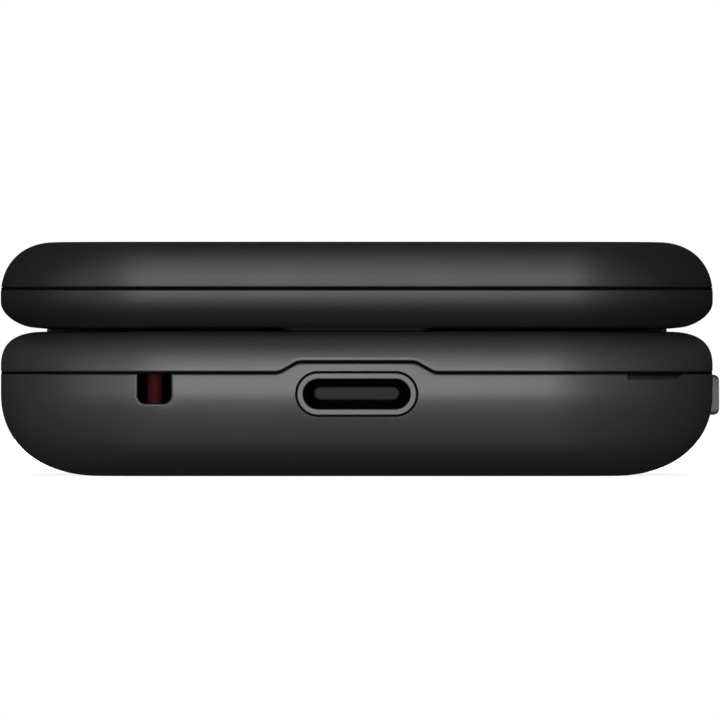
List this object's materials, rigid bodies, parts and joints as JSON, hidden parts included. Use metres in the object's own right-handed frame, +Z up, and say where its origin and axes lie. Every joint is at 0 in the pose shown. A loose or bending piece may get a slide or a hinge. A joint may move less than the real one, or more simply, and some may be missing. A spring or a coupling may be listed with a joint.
{
  "type": "flip phone",
  "caption": "Folding mobile phone lying closed: two clamshell halves on a barrel hinge, with keypad, displays, removable battery cover, charging port and strap post.",
  "frame": {"origin": "centre of the closed phone's footprint, on the surface it lies on", "axes": "+X to the side with the volume rocker, +Y along the length towards the hinge, +Z up from the battery cover to the lid"},
  "size_m": [0.0555, 0.108, 0.0181],
  "materials": {
    "housing_black": "moulded ABS, fine satin grain",
    "lid_black": "moulded ABS, fine satin grain",
    "key_plastic": "satin keys with printed figures",
    "side_key": "satin",
    "dark_glass": "polished, black border printed behind",
    "clear_lens": "frosted diffuser",
    "display_panel": "polarizer film, dark when off",
    "circuit_board": "solder mask",
    "steel": "stamped, plain",
    "port_trim": "dark plated",
    "inner_plastic": "black, unpolished",
    "post_red": "dark red",
    "silicone": "soft matt",
    "film": "polyimide film",
    "battery_wrap": "shrink film with a plain label"
  },
  "bodies": {
    "base": {"keypad_housing": "housing_black", "rear_chassis": "housing_black", "battery": "battery_wrap", "main_board": "circuit_board", "dome_sheet": "film", "keypad_mat": "silicone", "shield_cans": "steel", "usb_ring": "port_trim", "usb_shell": "steel", "usb_tongue": "inner_plastic", "audio_jack": "inner_plastic", "strap_post": "post_red", "loudspeaker": "inner_plastic", "battery_connector": "inner_plastic", "sim_socket": "inner_plastic", "housing_screws": "steel", "volume_switch": "inner_plastic", "hinge_can": "steel", "hinge_follower": "steel", "hinge_spring": "steel", "hinge_flex": "film"},
    "lid": {"lid_bezel": "housing_black", "lid_cover": "lid_black", "main_window": "dark_glass", "main_display": "display_panel", "lid_frame": "steel", "lid_board": "circuit_board", "sub_display": "display_panel", "sub_window": "dark_glass", "camera_module": "inner_plastic", "camera_window": "dark_glass", "flash_lens": "clear_lens", "earpiece": "steel", "vibration_motor": "steel", "lid_bumper": "silicone", "lid_screws": "steel", "lid_screw_caps": "silicone", "hinge_shaft": "steel", "hinge_bush": "inner_plastic"},
    "battery_cover": {"battery_cover": "housing_black"},
    "nav_key": {"nav_key": "key_plastic"},
    "ok_key": {"ok_key": "key_plastic"},
    "volume_rocker": {"volume_rocker": "side_key"},
    "send_key": {"send_key": "key_plastic"},
    "clear_key": {"clear_key": "key_plastic"},
    "end_key": {"end_key": "key_plastic"},
    "key_1": {"key_1": "key_plastic"},
    "key_2": {"key_2": "key_plastic"},
    "key_3": {"key_3": "key_plastic"},
    "key_4": {"key_4": "key_plastic"},
    "key_5": {"key_5": "key_plastic"},
    "key_6": {"key_6": "key_plastic"},
    "key_7": {"key_7": "key_plastic"},
    "key_8": {"key_8": "key_plastic"},
    "key_9": {"key_9": "key_plastic"},
    "key_star": {"key_star": "key_plastic"},
    "key_0": {"key_0": "key_plastic"},
    "key_hash": {"key_hash": "key_plastic"},
    "left_soft_key": {"left_soft_key": "key_plastic"},
    "right_soft_key": {"right_soft_key": "key_plastic"}
  },
  "joints": [
    {"name": "lid_fold", "type": "hinge", "parent": "base", "child": "lid", "pos_m": [0, 0.0493, 0.0113], "axis": [-1, 0, 0], "range_deg": [0, 160]},
    {"name": "cover_slide", "type": "slide", "parent": "base", "child": "battery_cover", "axis": [0, -1, 0], "range_m": [0, 0.1]},
    {"name": "volume_rock", "type": "hinge", "parent": "base", "child": "volume_rocker", "pos_m": [0.02555, 0.007, 0.00624], "axis": [0, 0, 1], "range_deg": [-1.2, 1.2], "stiffness_Nm_per_rad": 0.6},
    {"name": "nav_tilt", "type": "hinge", "parent": "base", "child": "nav_key", "pos_m": [0, 0.0272, 0.0097], "axis": [1, 0, 0], "range_deg": [-1.1, 1.1], "stiffness_Nm_per_rad": 0.5},
    {"name": "ok_press", "type": "slide", "parent": "base", "child": "ok_key", "axis": [0, 0, -1], "range_m": [0, 0.0003], "stiffness_N_per_m": 3000, "springref_m": -0.0002},
    {"name": "send_press", "type": "slide", "parent": "base", "child": "send_key", "axis": [0, 0, -1], "range_m": [0, 0.0003], "stiffness_N_per_m": 3000, "springref_m": -0.0002},
    {"name": "clear_press", "type": "slide", "parent": "base", "child": "clear_key", "axis": [0, 0, -1], "range_m": [0, 0.0003], "stiffness_N_per_m": 3000, "springref_m": -0.0002},
    {"name": "end_press", "type": "slide", "parent": "base", "child": "end_key", "axis": [0, 0, -1], "range_m": [0, 0.0003], "stiffness_N_per_m": 3000, "springref_m": -0.0002},
    {"name": "digit_1_press", "type": "slide", "parent": "base", "child": "key_1", "axis": [0, 0, -1], "range_m": [0, 0.0003], "stiffness_N_per_m": 3000, "springref_m": -0.0002},
    {"name": "digit_2_press", "type": "slide", "parent": "base", "child": "key_2", "axis": [0, 0, -1], "range_m": [0, 0.0003], "stiffness_N_per_m": 3000, "springref_m": -0.0002},
    {"name": "digit_3_press", "type": "slide", "parent": "base", "child": "key_3", "axis": [0, 0, -1], "range_m": [0, 0.0003], "stiffness_N_per_m": 3000, "springref_m": -0.0002},
    {"name": "digit_4_press", "type": "slide", "parent": "base", "child": "key_4", "axis": [0, 0, -1], "range_m": [0, 0.0003], "stiffness_N_per_m": 3000, "springref_m": -0.0002},
    {"name": "digit_5_press", "type": "slide", "parent": "base", "child": "key_5", "axis": [0, 0, -1], "range_m": [0, 0.0003], "stiffness_N_per_m": 3000, "springref_m": -0.0002},
    {"name": "digit_6_press", "type": "slide", "parent": "base", "child": "key_6", "axis": [0, 0, -1], "range_m": [0, 0.0003], "stiffness_N_per_m": 3000, "springref_m": -0.0002},
    {"name": "digit_7_press", "type": "slide", "parent": "base", "child": "key_7", "axis": [0, 0, -1], "range_m": [0, 0.0003], "stiffness_N_per_m": 3000, "springref_m": -0.0002},
    {"name": "digit_8_press", "type": "slide", "parent": "base", "child": "key_8", "axis": [0, 0, -1], "range_m": [0, 0.0003], "stiffness_N_per_m": 3000, "springref_m": -0.0002},
    {"name": "digit_9_press", "type": "slide", "parent": "base", "child": "key_9", "axis": [0, 0, -1], "range_m": [0, 0.0003], "stiffness_N_per_m": 3000, "springref_m": -0.0002},
    {"name": "digit_star_press", "type": "slide", "parent": "base", "child": "key_star", "axis": [0, 0, -1], "range_m": [0, 0.0003], "stiffness_N_per_m": 3000, "springref_m": -0.0002},
    {"name": "digit_0_press", "type": "slide", "parent": "base", "child": "key_0", "axis": [0, 0, -1], "range_m": [0, 0.0003], "stiffness_N_per_m": 3000, "springref_m": -0.0002},
    {"name": "digit_hash_press", "type": "slide", "parent": "base", "child": "key_hash", "axis": [0, 0, -1], "range_m": [0, 0.0003], "stiffness_N_per_m": 3000, "springref_m": -0.0002},
    {"name": "left_soft_press", "type": "slide", "parent": "base", "child": "left_soft_key", "axis": [0, 0, -1], "range_m": [0, 0.0003], "stiffness_N_per_m": 3000, "springref_m": -0.0002},
    {"name": "right_soft_press", "type": "slide", "parent": "base", "child": "right_soft_key", "axis": [0, 0, -1], "range_m": [0, 0.0003], "stiffness_N_per_m": 3000, "springref_m": -0.0002}
  ]
}
